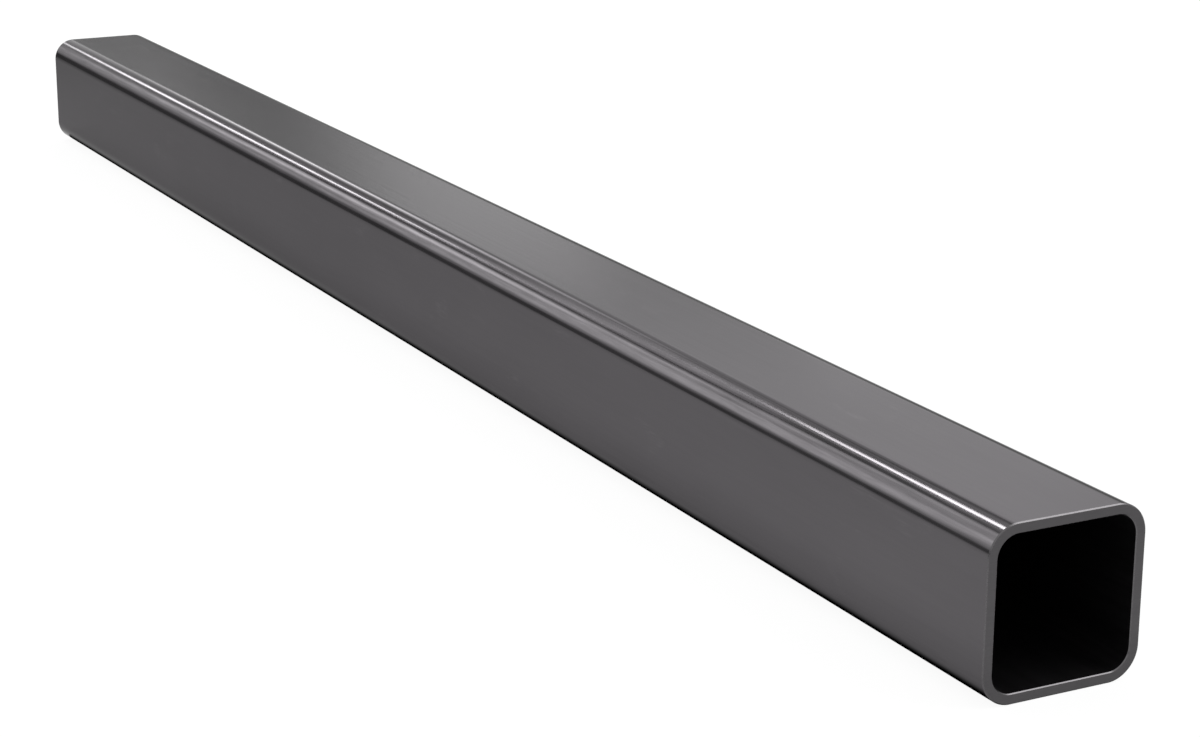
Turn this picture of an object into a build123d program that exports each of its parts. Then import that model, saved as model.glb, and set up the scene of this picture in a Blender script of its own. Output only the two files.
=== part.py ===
"""Square steel tube, one length of cold-formed stock with both ends sawn square.

The tube lies along X on its bottom face, with Z up. The origin is on the floor, under the middle
of its length and width. Lengths are in millimetres. The stock is an inch size, as noted beside each.
"""

import os

from build123d import *

SIDE = 76.2  # 3 in
WALL = 4.7625  # 3/16 in
BEND_INSIDE_RADIUS = 9.525  # 3/8 in
LENGTH = 1219.2  # 48 in

# The small bevels that deburring leaves on the two edges of each sawn end.
OUTER_EDGE_BEVEL = 0.5
BORE_EDGE_BEVEL = 0.4

NODE = "square_tube"


def tube_section() -> Sketch:
    """The section, with its middle at the origin: a strip bent round four corners, with one wall throughout."""
    bore_side = SIDE - 2 * WALL
    bend_outside_radius = BEND_INSIDE_RADIUS + WALL
    outside = RectangleRounded(SIDE, SIDE, bend_outside_radius)
    bore = RectangleRounded(bore_side, bore_side, BEND_INSIDE_RADIUS)
    return outside - bore


def extruded_stock() -> Part:
    """The section drawn out along X, halfway to each side, standing on the floor."""
    across_the_tube = Plane.YZ.offset(-LENGTH / 2)
    stock = extrude(across_the_tube * tube_section(), LENGTH)
    return Pos(0, 0, SIDE / 2) * stock


def deburr(tube: Part) -> Part:
    """Bevels the outer edge and the bore's edge of both sawn ends."""
    sawn_ends = tube.faces().filter_by(Axis.X)
    outer_edges = ShapeList(edge for end in sawn_ends for edge in end.outer_wire().edges())
    tube = chamfer(outer_edges, OUTER_EDGE_BEVEL)
    sawn_ends = tube.faces().filter_by(Axis.X)
    bore_edges = ShapeList(edge for end in sawn_ends for wire in end.inner_wires() for edge in wire.edges())
    return chamfer(bore_edges, BORE_EDGE_BEVEL)


def square_tube() -> Part:
    tube = deburr(extruded_stock())
    tube.label = NODE
    return tube


os.makedirs("parts", exist_ok=True)
export_step(square_tube(), f"parts/{NODE}.step")
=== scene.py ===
"""The looks of the square steel tube: a fine mesh of it in dark rolled steel, on a white studio floor.

Lengths are in metres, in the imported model's frame: the tube lies along X with Z up, on the floor at Z = 0.
The end at +X is the one nearest the photograph's camera, and the side at -Y is the one that it sees.
The studio's directions are in degrees, anticlockwise from +X and above the floor, as seen from the tube.
In it, left is towards smaller azimuths and right is towards larger ones.
"""

import math

import bpy
from mathutils import Matrix, Vector


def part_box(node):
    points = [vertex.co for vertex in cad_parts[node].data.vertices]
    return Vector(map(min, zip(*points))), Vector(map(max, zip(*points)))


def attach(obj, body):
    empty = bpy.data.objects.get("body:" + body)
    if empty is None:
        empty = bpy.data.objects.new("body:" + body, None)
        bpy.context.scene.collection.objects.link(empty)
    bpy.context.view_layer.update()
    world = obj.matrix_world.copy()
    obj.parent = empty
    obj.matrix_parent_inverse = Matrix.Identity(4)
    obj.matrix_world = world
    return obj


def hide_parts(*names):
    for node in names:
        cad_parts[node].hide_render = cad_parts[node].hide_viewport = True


NODE = "square_tube"

# The section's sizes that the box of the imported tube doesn't give.
WALL = 0.0047625
BEND_INSIDE_RADIUS = 0.009525
BEND_OUTSIDE_RADIUS = BEND_INSIDE_RADIUS + WALL
OUTER_EDGE_BEVEL = 0.0005
BORE_EDGE_BEVEL = 0.0004

BEND_SEGMENTS = 24

# The order of the tube's materials.
OUTSIDE, SAWN_END, EDGE, BORE = range(4)

ROLLED_COLOUR = (0.1105, 0.105, 0.1108)
SAWN_COLOUR = (0.096, 0.0925, 0.0962)
EDGE_COLOUR = (0.118, 0.1135, 0.118)
BORE_COLOUR = (0.035, 0.033, 0.0355)

# Takes some light off what the rolled steel mirrors at a flat angle.
ROLLED_FLAT_ANGLE_TINT = (0.5, 0.5, 0.5, 1.0)

# The photograph's camera: where it stands, how it is turned in degrees, and its lens.
CAMERA_PLACE = (1.4193, -0.6307, 0.4328)
CAMERA_AZIMUTH = 62.37
CAMERA_ELEVATION = 16.50
CAMERA_ROLL = 0.33
CAMERA_LENS_MM = 82.48
SENSOR_WIDTH_MM = 36.0

WHITE = (1.0, 1.0, 1.0, 1.0)

# The world's strength where it only lights a surface. It is 1 where it is seen or mirrored.
WORLD_LIGHT = 0.75

# A hair under the tube, so that the two flat faces don't show through each other from below.
FLOOR_LEVEL = -0.0001
FLOOR_REACH = 60.0
FLOOR_GLOW = 0.93
FLOOR_COLOUR = (0.1, 0.1, 0.1, 1.0)

# A painted shadow on what the steel mirrors of the floor, by the distance beyond the tube's sides: nothing
# up to the first one, a floor dimmed by painted shade between the second and the third, and all of it from
# the fourth. How bright the dimmed floor is differs by the tube's two ends.
FLOOR_BLACK_TO = -0.0045
FLOOR_DIM_FROM = 0.003
FLOOR_DIM_TO = 0.015
FLOOR_OPEN_FROM = 0.05
DIM_BY_NEAR_END = 0.79
DIM_BY_FAR_END = 0.92

# At the tube's ends a ring of the floor lies nearer to the tube's outline than at its sides: by the first
# share where it is under the tube, and by the second one up to a distance beside it.
END_SHARE_UNDER = 0.035
END_SHARE_BESIDE = 0.25
BESIDE_WITHIN = 0.01

# The lamps stand in front of the dark flags, and the dark low wall behind them.
LAMP_DISTANCE = 12.0
FLAG_DISTANCE = 14.5
WALL_DISTANCE = 15.0

# The wall's top, and how far below it the wall starts to fade out, in degrees.
WALL_TOP = 8.0
WALL_FADE = 4.3

# The far left is behind the left lamps and further left. It starts and ends over some degrees each.
# The wall is some degrees higher there, and the whole surround is paler by a share.
FAR_LEFT_START = (80.0, 110.0)
FAR_LEFT_END = (165.0, 190.0)
FAR_LEFT_WALL_HIGHER = 6.0
FAR_LEFT_PALER = 0.27

# The dark floor: how far beside the tube it starts, how much further out it is fully dark, and its height.
DARK_FLOOR_START = 0.002
DARK_FLOOR_FADE = 1.3
DARK_FLOOR_LEVEL = 0.001
DARK_GREY = (0.24, 0.24, 0.24, 1.0)

SURROUND_SIDES = 144
FLOOR_LOOPS = 9
WALL_LOOPS = 7
FLAG_STEPS = 12


class Nodes:
    """A short way to add shader nodes and link them."""

    def __init__(self, tree):
        self.tree = tree
        tree.nodes.clear()

    def add(self, kind, settings=None, **inputs):
        node = self.tree.nodes.new(kind)
        for name, value in (settings or {}).items():
            setattr(node, name, value)
        for name, value in inputs.items():
            self.put(node.inputs[name.replace("_", " ")], value)
        return node

    def put(self, socket, value):
        if isinstance(value, bpy.types.NodeSocket):
            self.tree.links.new(value, socket)
        else:
            socket.default_value = value

    def math(self, operation, first, second=0.0):
        node = self.tree.nodes.new("ShaderNodeMath")
        node.operation = operation
        self.put(node.inputs[0], first)
        self.put(node.inputs[1], second)
        return node.outputs[0]

    def spread(self, value, low, high):
        """A 0 to 1 value spread from low to high."""
        node = self.add("ShaderNodeMapRange", Value=value)
        node.inputs["To Min"].default_value = low
        node.inputs["To Max"].default_value = high
        return node.outputs[0]

    def clamped(self, value, low, high):
        """0 up to low, 1 from high, and an even rise between."""
        node = self.add("ShaderNodeMapRange", Value=value)
        node.inputs["From Min"].default_value = low
        node.inputs["From Max"].default_value = high
        return node.outputs[0]

    def noise(self, stretch, scale, detail, roughness=0.5):
        """Noise in the tube's own coordinates, stretched by a factor on each axis."""
        place = self.add("ShaderNodeTexCoord").outputs["Object"]
        place = self.add("ShaderNodeMapping", Vector=place, Scale=stretch).outputs[0]
        noise = self.add("ShaderNodeTexNoise", Vector=place, Scale=scale, Detail=detail, Roughness=roughness)
        return noise.outputs["Fac"]

    def kept_by_mesh(self, name):
        """A value that the mesh keeps at each of its points."""
        return self.add("ShaderNodeAttribute", {"attribute_name": name}).outputs["Fac"]

    def toned(self, colour, tone):
        """A colour that a factor makes lighter or darker."""
        scaled = self.add("ShaderNodeVectorMath", {"operation": "SCALE"})
        scaled.inputs[0].default_value = colour
        self.put(scaled.inputs["Scale"], tone)
        return scaled.outputs[0]

    def bump(self, height, strength, distance, **under):
        """Relief that is as high as the distance where the height is 1, on top of any given as Normal."""
        relief = self.add("ShaderNodeBump", Strength=strength, Distance=distance, Height=height, **under)
        return relief.outputs[0]

    def steel(self, colour, roughness, normal):
        """The metal shader, ready linked to the material's output."""
        shader = self.add("ShaderNodeBsdfPrincipled", Base_Color=colour, Roughness=roughness, Normal=normal)
        shader.inputs["Metallic"].default_value = 1.0
        self.add("ShaderNodeOutputMaterial", Surface=shader.outputs[0])
        return shader

    def mixed(self, share, first, second):
        """The first shader where the share is 0, and the second where it is 1."""
        mix = self.add("ShaderNodeMixShader", Fac=share)
        self.put(mix.inputs[1], first)
        self.put(mix.inputs[2], second)
        return mix.outputs[0]


def new_material(name):
    material = bpy.data.materials.new(name)
    material.use_nodes = True
    return material, Nodes(material.node_tree)


def rolled_steel():
    """Dark cold-formed steel, with fine lines along the tube from the rolls.

    It also has faint clouds, a slight waver, marks where the bends are rubbed, and a few scuffs.
    """
    material, nodes = new_material("rolled_steel")
    streaks = nodes.noise(stretch=(0.02, 1.0, 1.0), scale=900.0, detail=4.0, roughness=0.6)
    clouds = nodes.noise(stretch=(0.35, 1.0, 1.0), scale=16.0, detail=4.0, roughness=0.55)
    waver = nodes.noise(stretch=(0.05, 1.0, 1.0), scale=90.0, detail=2.0)
    draw_lines = nodes.noise(stretch=(0.006, 1.0, 1.0), scale=420.0, detail=2.0)
    rub_noise = nodes.noise(stretch=(0.05, 1.0, 1.0), scale=520.0, detail=3.0, roughness=0.65)
    patch_noise = nodes.noise(stretch=(0.5, 1.0, 1.0), scale=70.0, detail=2.0)
    scratch_noise = nodes.noise(stretch=(0.06, 1.0, 1.0), scale=1500.0, detail=2.0, roughness=0.6)

    rub_marks = nodes.spread(rub_noise, low=-0.45, high=0.45)
    rubbed = nodes.math("MULTIPLY", rub_marks, nodes.kept_by_mesh("bend"))
    patches = nodes.clamped(patch_noise, low=0.64, high=0.74)
    scratches = nodes.clamped(scratch_noise, low=0.5, high=0.64)
    scuffs = nodes.math("MULTIPLY", patches, scratches)

    streak_tone = nodes.spread(streaks, low=0.95, high=1.05)
    cloud_tone = nodes.spread(clouds, low=0.9, high=1.1)
    scuff_tone = nodes.math("MULTIPLY", scuffs, 0.18)
    tone = nodes.math("MULTIPLY", streak_tone, cloud_tone)
    tone = nodes.math("ADD", tone, scuff_tone)
    tone = nodes.math("ADD", tone, rubbed)

    streak_roughness = nodes.spread(streaks, low=0.12, high=0.14)
    cloud_roughness = nodes.spread(clouds, low=-0.015, high=0.015)
    scuff_roughness = nodes.math("MULTIPLY", scuffs, 0.05)
    roughness = nodes.math("ADD", streak_roughness, cloud_roughness)
    roughness = nodes.math("ADD", roughness, scuff_roughness)

    fine = nodes.bump(streaks, strength=0.3, distance=0.000004)
    lines = nodes.bump(draw_lines, strength=1.0, distance=0.00003, Normal=fine)
    relief = nodes.bump(waver, strength=1.0, distance=0.00003, Normal=lines)
    shader = nodes.steel(nodes.toned(ROLLED_COLOUR, tone), roughness, relief)
    shader.inputs["Specular Tint"].default_value = ROLLED_FLAT_ANGLE_TINT
    return material


def sawn_steel():
    """The ends: dark steel with the fine, slightly uneven lines of a saw."""
    material, nodes = new_material("sawn_steel")
    lines = nodes.noise(stretch=(1.0, 0.05, 1.0), scale=2600.0, detail=2.0, roughness=0.6)
    clouds = nodes.noise(stretch=(1.0, 1.0, 1.0), scale=120.0, detail=2.0)
    line_tone = nodes.spread(lines, low=0.86, high=1.14)
    cloud_tone = nodes.spread(clouds, low=0.92, high=1.08)
    colour = nodes.toned(SAWN_COLOUR, nodes.math("MULTIPLY", line_tone, cloud_tone))
    roughness = nodes.spread(clouds, low=0.34, high=0.44)
    nodes.steel(colour, roughness, nodes.bump(lines, strength=0.5, distance=0.00001))
    return material


def edge_steel():
    """The deburred bevels: a little smoother and barer than the sawn faces beside them."""
    material, nodes = new_material("edge_steel")
    nicks = nodes.noise(stretch=(1.0, 1.0, 1.0), scale=700.0, detail=2.0)
    colour = nodes.toned(EDGE_COLOUR, nodes.spread(nicks, low=0.8, high=1.2))
    roughness = nodes.spread(nicks, low=0.22, high=0.32)
    nodes.steel(colour, roughness, nodes.bump(nicks, strength=0.3, distance=0.00002))
    return material


def bore_steel():
    """The inside: nearly black, with the same kind of lines along the tube."""
    material, nodes = new_material("bore_steel")
    streaks = nodes.noise(stretch=(0.03, 1.0, 1.0), scale=500.0, detail=3.0, roughness=0.6)
    colour = nodes.toned(BORE_COLOUR, nodes.spread(streaks, low=0.7, high=1.3))
    roughness = nodes.spread(streaks, low=0.42, high=0.58)
    nodes.steel(colour, roughness, nodes.bump(streaks, strength=0.3, distance=0.00002))
    return material


def rounded_square(half, radius):
    """Points and outward directions of a square with rounded corners, anticlockwise about its middle."""
    points = []
    for corner in range(4):
        start = corner * math.pi / 2
        diagonal = start + math.pi / 4
        centre_y = math.copysign(half - radius, math.cos(diagonal))
        centre_z = math.copysign(half - radius, math.sin(diagonal))
        for step in range(BEND_SEGMENTS + 1):
            angle = start + step / BEND_SEGMENTS * math.pi / 2
            out = (math.cos(angle), math.sin(angle))
            points.append((centre_y + radius * out[0], centre_z + radius * out[1], out))
    return points


def tube_profile(half_length):
    """The wall's outline, from the near end to the far one along the outside and back through the bore.

    Each point is its place along X, its depth below the outside, and the surface from there to the next.
    """
    near_bore = half_length - BORE_EDGE_BEVEL
    near_outer = half_length - OUTER_EDGE_BEVEL
    return [
        (near_bore, WALL, EDGE),
        (half_length, WALL - BORE_EDGE_BEVEL, SAWN_END),
        (half_length, OUTER_EDGE_BEVEL, EDGE),
        (near_outer, 0.0, OUTSIDE),
        (-near_outer, 0.0, EDGE),
        (-half_length, OUTER_EDGE_BEVEL, SAWN_END),
        (-half_length, WALL - BORE_EDGE_BEVEL, EDGE),
        (-near_bore, WALL, BORE),
    ]


def tube_mesh(name, low, high):
    """The tube as one closed mesh: the profile carried round the rounded square, with exact normals.

    It keeps at its points how far into a bend they lie: 0 on the flats, and 1 halfway round a bend.
    """
    half_side = (high.z - low.z) / 2
    middle = (low + high) / 2
    profile = tube_profile((high.x - low.x) / 2)
    vertices = []
    bends = []
    for x, depth, _ in profile:
        for y, z, out in rounded_square(half_side - depth, BEND_OUTSIDE_RADIUS - depth):
            vertices.append((middle.x + x, middle.y + y, middle.z + z))
            bends.append(2 * abs(out[0] * out[1]))
    around = rounded_square(half_side, BEND_OUTSIDE_RADIUS)
    count = len(around)
    faces = []
    normals = []
    surfaces = []
    for ring, (x, depth, surface) in enumerate(profile):
        following = (ring + 1) % len(profile)
        next_x, next_depth, _ = profile[following]
        facing = Vector((depth - next_depth, x - next_x)).normalized()
        for point in range(count):
            beside = (point + 1) % count
            corners = ((ring, point), (following, point), (following, beside), (ring, beside))
            faces.append([loop * count + place for loop, place in corners])
            for _, place in corners:
                out = around[place][2]
                normals.append((facing.x, facing.y * out[0], facing.y * out[1]))
            surfaces.append(surface)
    mesh = bpy.data.meshes.new(name)
    mesh.from_pydata(vertices, [], faces)
    mesh.attributes.new("bend", "FLOAT", "POINT").data.foreach_set("value", bends)
    mesh.polygons.foreach_set("material_index", surfaces)
    mesh.polygons.foreach_set("use_smooth", [True] * len(faces))
    mesh.normals_split_custom_set(normals)
    mesh.validate()
    return mesh


def steel_tube():
    low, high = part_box(NODE)
    mesh = tube_mesh("steel_tube", low, high)
    for material in (rolled_steel(), sawn_steel(), edge_steel(), bore_steel()):
        mesh.materials.append(material)
    tube = bpy.data.objects.new("steel_tube", mesh)
    bpy.context.scene.collection.objects.link(tube)
    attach(tube, "root")
    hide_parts(NODE)


def studio_camera():
    """The camera, turned about its own place by azimuth, elevation and roll."""
    azimuth = math.radians(CAMERA_AZIMUTH)
    elevation = math.radians(CAMERA_ELEVATION)
    roll = math.radians(CAMERA_ROLL)
    level = math.cos(elevation)
    back = Vector((math.sin(azimuth) * level, -math.cos(azimuth) * level, math.sin(elevation)))
    level_right = Vector((math.cos(azimuth), math.sin(azimuth), 0.0))
    level_up = back.cross(level_right)
    right = math.cos(roll) * level_right + math.sin(roll) * level_up
    up = math.cos(roll) * level_up - math.sin(roll) * level_right
    data = bpy.data.cameras.new("camera")
    data.sensor_width = SENSOR_WIDTH_MM
    data.lens = CAMERA_LENS_MM
    camera = bpy.data.objects.new("camera", data)
    camera.matrix_world = Matrix.Translation(CAMERA_PLACE) @ Matrix((right, up, back)).transposed().to_4x4()
    bpy.context.scene.collection.objects.link(camera)
    bpy.context.scene.camera = camera


def smooth_step(value, low, high):
    """0 up to low, 1 from high, and a smooth rise between."""
    share = min(max((value - low) / (high - low), 0.0), 1.0)
    return share * share * (3 - 2 * share)


def direction_at(azimuth, elevation):
    """The way from the tube towards a place that many degrees anticlockwise from +X and above the floor."""
    a = math.radians(azimuth)
    e = math.radians(elevation)
    return Vector((math.cos(a) * math.cos(e), math.sin(a) * math.cos(e), math.sin(e)))


def seen_or_mirrored(nodes):
    """1 for a ray from the camera, a mirror or glass, and 0 for one that only lights a surface."""
    path = nodes.add("ShaderNodeLightPath")
    either = nodes.math("MAXIMUM", path.outputs["Is Camera Ray"], path.outputs["Is Glossy Ray"])
    return nodes.math("MAXIMUM", either, path.outputs["Is Transmission Ray"])


def studio_world():
    world = bpy.data.worlds.new("studio")
    world.use_nodes = True
    bpy.context.scene.world = world
    nodes = Nodes(world.node_tree)
    strength = nodes.spread(seen_or_mirrored(nodes), low=WORLD_LIGHT, high=1.0)
    background = nodes.add("ShaderNodeBackground", Color=WHITE, Strength=strength)
    nodes.add("ShaderNodeOutputWorld", Surface=background.outputs[0])


def floor_material():
    """White, seen from above only. The steel mirrors it with a painted shadow, black where the mesh marks it
    fully shaded.
    """
    material, nodes = new_material("floor_white")
    glow = nodes.math("MULTIPLY", seen_or_mirrored(nodes), FLOOR_GLOW)
    white = nodes.add("ShaderNodeAddShader")
    nodes.put(white.inputs[0], nodes.add("ShaderNodeBsdfDiffuse", Color=FLOOR_COLOUR).outputs[0])
    nodes.put(white.inputs[1], nodes.add("ShaderNodeEmission", Color=WHITE, Strength=glow).outputs[0])
    # Painted shadow: what the steel mirrors of the floor is darkened, to black where the mesh marks the
    # floor as shaded.
    mirrored = nodes.add("ShaderNodeLightPath").outputs["Is Glossy Ray"]
    painted_shadow = nodes.math("SUBTRACT", 1.0, nodes.kept_by_mesh("unshadowed_floor"))
    mirrored_shadow = nodes.math("MULTIPLY", mirrored, painted_shadow)
    black = nodes.add("ShaderNodeEmission", Strength=0.0)
    from_above = nodes.mixed(mirrored_shadow, white.outputs[0], black.outputs[0])
    below = nodes.add("ShaderNodeNewGeometry").outputs["Backfacing"]
    clear = nodes.add("ShaderNodeBsdfTransparent")
    nodes.add("ShaderNodeOutputMaterial", Surface=nodes.mixed(below, from_above, clear.outputs[0]))
    return material


def end_share(beyond):
    """How much of its reach beyond the tube's sides a floor ring has past the ends."""
    if beyond < 0:
        return END_SHARE_UNDER
    if beyond < BESIDE_WITHIN:
        return END_SHARE_BESIDE
    return 1.0


def studio_floor():
    """A white floor that keeps the tube's shadow, in rings round the tube's flat bottom.

    The steel mirrors a painted shadow on it: black under the tube's overhang and a little dim beside the
    tube, most so by the near end.
    """
    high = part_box(NODE)[1]
    # The rings between the named ones shape the changes from one to the next.
    overhang = (-BEND_OUTSIDE_RADIUS, FLOOR_BLACK_TO, -0.003, -0.0015)
    beside = (0.0, 0.0015, FLOOR_DIM_FROM, FLOOR_DIM_TO)
    further = (0.023, 0.032, 0.04, FLOOR_OPEN_FROM, FLOOR_REACH)
    vertices = []
    unshadowed_share = []
    for beyond in overhang + beside + further:
        x = high.x + beyond * end_share(beyond)
        y = high.y + beyond
        vertices += [(-x, -y, FLOOR_LEVEL), (x, -y, FLOOR_LEVEL), (x, y, FLOOR_LEVEL), (-x, y, FLOOR_LEVEL)]
        # Each point's share of the floor that the steel mirrors unshaded; the rest is painted shadow.
        for dimmest in (DIM_BY_FAR_END, DIM_BY_NEAR_END, DIM_BY_NEAR_END, DIM_BY_FAR_END):
            brighter = (1 - dimmest) * smooth_step(beyond, FLOOR_DIM_TO, FLOOR_OPEN_FROM)
            unshadowed_share.append(smooth_step(beyond, FLOOR_BLACK_TO, FLOOR_DIM_FROM) * (dimmest + brighter))
    faces = []
    for inner in range(0, len(vertices) - 4, 4):
        for corner in range(4):
            following = (corner + 1) % 4
            faces.append((inner + corner, inner + 4 + corner, inner + 4 + following, inner + following))
    mesh = bpy.data.meshes.new("floor")
    mesh.from_pydata(vertices, [], faces)
    mesh.attributes.new("unshadowed_floor", "FLOAT", "POINT").data.foreach_set("value", unshadowed_share)
    mesh.materials.append(floor_material())
    floor = bpy.data.objects.new("floor", mesh)
    bpy.context.scene.collection.objects.link(floor)


def softbox(name, azimuth, elevation, width, height, glow, edge):
    """A lamp with a flat rectangular face that fades out over its edge.

    Its place, size and edge are in degrees as the tube sees them, and a glow of 1 is white.
    """
    towards = direction_at(azimuth, elevation)
    full_width = width + edge
    full_height = height + edge
    lamp = bpy.data.lights.new(name, "AREA")
    lamp.shape = "RECTANGLE"
    lamp.size = 2 * LAMP_DISTANCE * math.tan(math.radians(full_width / 2))
    lamp.size_y = 2 * LAMP_DISTANCE * math.tan(math.radians(full_height / 2))
    lamp.energy = glow * math.pi * lamp.size * lamp.size_y
    lamp.use_nodes = True
    nodes = Nodes(lamp.node_tree)
    on_face = nodes.add("ShaderNodeNewGeometry").outputs["Parametric"]
    across = nodes.add("ShaderNodeSeparateXYZ", Vector=on_face).outputs
    shares = []
    for place, degrees in ((across["X"], full_width), (across["Y"], full_height)):
        from_rim = nodes.math("SUBTRACT", 0.5, nodes.math("ABSOLUTE", nodes.math("SUBTRACT", place, 0.5)))
        fade = nodes.add("ShaderNodeMapRange", {"interpolation_type": "SMOOTHSTEP"}, Value=from_rim)
        fade.inputs["From Max"].default_value = edge / degrees
        shares.append(fade.outputs[0])
    emission = nodes.add("ShaderNodeEmission", Strength=nodes.math("MULTIPLY", *shares))
    nodes.add("ShaderNodeOutputLight", Surface=emission.outputs[0])
    box = bpy.data.objects.new(name, lamp)
    box.location = towards * LAMP_DISTANCE
    box.rotation_euler = towards.to_track_quat("Z", "Y").to_euler()
    box.visible_camera = False
    bpy.context.scene.collection.objects.link(box)


def studio_lamps():
    """Strips for the bright lines along the bend, a foot for two of them, and panels for the faces."""
    softbox("left_strip", azimuth=163.5, elevation=20.8, width=1.43, height=10.2, glow=8.9, edge=9.5)
    softbox("middle_strip", azimuth=181.6, elevation=23.2, width=2.14, height=8.9, glow=19.2, edge=3.0)
    softbox("right_strip", azimuth=195.9, elevation=21.4, width=2.6, height=10.4, glow=7.9, edge=9.5)
    softbox("high_strip", azimuth=177.9, elevation=46.5, width=5.1, height=16.5, glow=12.5, edge=0.52)
    softbox("between_panel", azimuth=178.6, elevation=32.6, width=21.8, height=7.4, glow=1.01, edge=0.93)
    softbox("right_panel", azimuth=209.5, elevation=24.4, width=21.1, height=27.8, glow=1.31, edge=4.0)
    softbox("left_panel", azimuth=147.8, elevation=20.4, width=21.3, height=24.2, glow=1.21, edge=9.7)
    softbox("low_panel", azimuth=181.5, elevation=9.7, width=32.1, height=16.6, glow=0.93, edge=3.1)
    softbox("left_foot", azimuth=163.5, elevation=17.8, width=2.56, height=6.6, glow=3.3, edge=1.3)
    softbox("middle_foot", azimuth=180.0, elevation=18.7, width=0.81, height=7.6, glow=4.8, edge=2.46)
    softbox("overhead_panel", azimuth=59.0, elevation=49.0, width=30.0, height=24.0, glow=3.6, edge=1.5)


def far_left(azimuth):
    """1 at the far left, and 0 elsewhere."""
    return smooth_step(azimuth, *FAR_LEFT_START) * (1 - smooth_step(azimuth, *FAR_LEFT_END))


def wall_height(azimuth, below_top):
    """The height of the dark low wall's places that are so many degrees below its top."""
    elevation = WALL_TOP + FAR_LEFT_WALL_HIGHER * far_left(azimuth) - below_top
    return WALL_DISTANCE * math.tan(math.radians(elevation))


class DarkMesh:
    """Points with a darkness each and the faces between them, for the loops round the tube and the flags."""

    def __init__(self, high):
        self.high = high
        self.vertices = []
        self.darkness = []
        self.faces = []

    def loop(self, distance, height_at, dark):
        """Points all round the tube, at a distance from its sides and ends."""
        for side in range(SURROUND_SIDES):
            azimuth = side / SURROUND_SIDES * 360.0
            out = direction_at(azimuth, 0.0)
            x = math.copysign(self.high.x, out.x) + distance * out.x
            y = math.copysign(self.high.y, out.y) + distance * out.y
            self.vertices.append((x, y, height_at(azimuth)))
            self.darkness.append(dark * (1 - FAR_LEFT_PALER * far_left(azimuth)))

    def join_loops(self, count):
        """Faces that join each loop to the next. Loops come before flags among the points."""
        for inner in range(0, (count - 1) * SURROUND_SIDES, SURROUND_SIDES):
            outer = inner + SURROUND_SIDES
            for side in range(SURROUND_SIDES):
                beside = (side + 1) % SURROUND_SIDES
                self.faces.append((inner + side, inner + beside, outer + beside, outer + side))

    def flag(self, azimuth, elevation, width, height, depth, edge):
        """A dark card, placed and sized as a softbox is. Its edge fades out, and a depth of 1 is dark."""
        first = len(self.vertices)
        towards = direction_at(azimuth, elevation)
        right = direction_at(azimuth + 90.0, 0.0)
        up = towards.cross(right)
        full_width = width + edge
        full_height = height + edge
        for row in range(FLAG_STEPS + 1):
            for column in range(FLAG_STEPS + 1):
                across = (column / FLAG_STEPS - 0.5) * full_width
                upward = (row / FLAG_STEPS - 0.5) * full_height
                sideways = math.tan(math.radians(across)) * right
                upwards = math.tan(math.radians(upward)) * up
                self.vertices.append(tuple(FLAG_DISTANCE * (towards + sideways + upwards)))
                across_share = smooth_step(full_width / 2 - abs(across), 0.0, edge)
                upward_share = smooth_step(full_height / 2 - abs(upward), 0.0, edge)
                self.darkness.append(depth * (across_share * upward_share))
        for row in range(FLAG_STEPS):
            for column in range(FLAG_STEPS):
                corner = first + row * (FLAG_STEPS + 1) + column
                above = corner + FLAG_STEPS + 1
                self.faces.append((corner, corner + 1, above + 1, above))


def surround_material():
    """Dark grey where the mesh is dark, and clear elsewhere."""
    material, nodes = new_material("dark_surround")
    clear = nodes.add("ShaderNodeBsdfTransparent")
    grey = nodes.add("ShaderNodeEmission", Color=DARK_GREY)
    surface = nodes.mixed(nodes.kept_by_mesh("darkness"), clear.outputs[0], grey.outputs[0])
    nodes.add("ShaderNodeOutputMaterial", Surface=surface)
    return material


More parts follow.
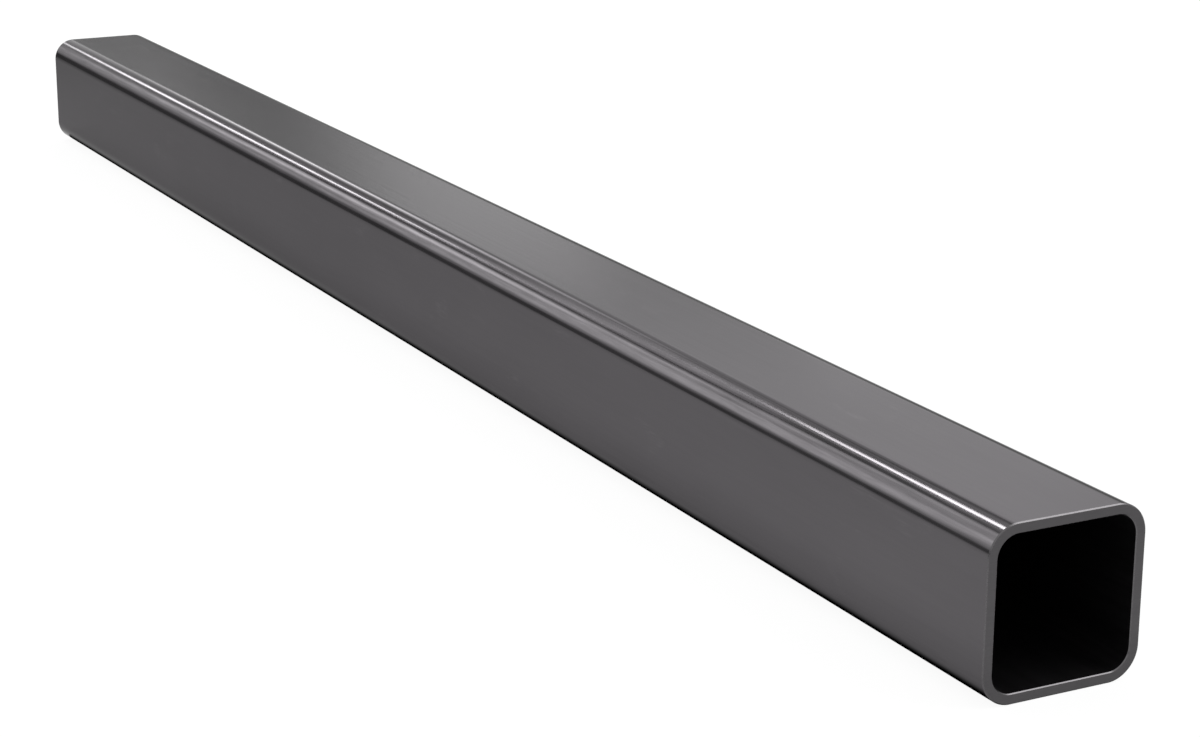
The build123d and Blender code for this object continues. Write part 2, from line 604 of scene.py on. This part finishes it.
def dark_surround():
    """The studio's dark surroundings, which only the steel shows.

    They are a floor that darkens away from the tube, a low wall that fades out upwards, and the flags.
    """
    dark = DarkMesh(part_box(NODE)[1])
    for step in range(FLOOR_LOOPS):
        share = step / (FLOOR_LOOPS - 1)
        distance = DARK_FLOOR_START + DARK_FLOOR_FADE * share
        darkness = smooth_step(share, 0.0, 1.0)
        dark.loop(distance, lambda azimuth: DARK_FLOOR_LEVEL, darkness)
    for step in range(WALL_LOOPS):
        share = 1 - step / (WALL_LOOPS - 1)
        below_top = WALL_FADE * share
        darkness = smooth_step(share, 0.0, 1.0)
        dark.loop(WALL_DISTANCE, lambda azimuth: wall_height(azimuth, below_top), darkness)
    dark.flag(azimuth=192.8, elevation=31.1, width=9.9, height=19.9, depth=1.0, edge=0.63)
    dark.flag(azimuth=156.2, elevation=26.1, width=7.2, height=21.7, depth=1.0, edge=0.96)
    dark.flag(azimuth=159.4, elevation=12.6, width=3.2, height=14.4, depth=0.98, edge=3.5)
    dark.flag(azimuth=170.1, elevation=31.9, width=10.1, height=13.2, depth=0.58, edge=1.27)
    dark.flag(azimuth=149.4, elevation=10.5, width=5.3, height=11.9, depth=1.0, edge=1.64)
    dark.flag(azimuth=198.8, elevation=17.6, width=6.6, height=7.9, depth=1.0, edge=0.53)
    dark.flag(azimuth=208.8, elevation=29.0, width=10.5, height=11.2, depth=1.0, edge=0.97)
    dark.join_loops(FLOOR_LOOPS + WALL_LOOPS)
    mesh = bpy.data.meshes.new("dark_surround")
    mesh.from_pydata(dark.vertices, [], dark.faces)
    mesh.attributes.new("darkness", "FLOAT", "POINT").data.foreach_set("value", dark.darkness)
    mesh.materials.append(surround_material())
    surround = bpy.data.objects.new("dark_surround", mesh)
    bpy.context.scene.collection.objects.link(surround)
    for kind in ("camera", "diffuse", "transmission", "volume_scatter", "shadow"):
        setattr(surround, "visible_" + kind, False)


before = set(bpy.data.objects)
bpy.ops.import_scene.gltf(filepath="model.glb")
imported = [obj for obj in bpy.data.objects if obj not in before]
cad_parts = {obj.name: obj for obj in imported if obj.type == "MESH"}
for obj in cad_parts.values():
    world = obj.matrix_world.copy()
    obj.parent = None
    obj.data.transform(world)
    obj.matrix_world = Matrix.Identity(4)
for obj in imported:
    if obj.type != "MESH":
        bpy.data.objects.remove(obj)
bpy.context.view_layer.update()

steel_tube()
studio_world()
studio_floor()
dark_surround()
studio_lamps()
studio_camera()

bpy.context.scene.view_settings.view_transform = "Standard"
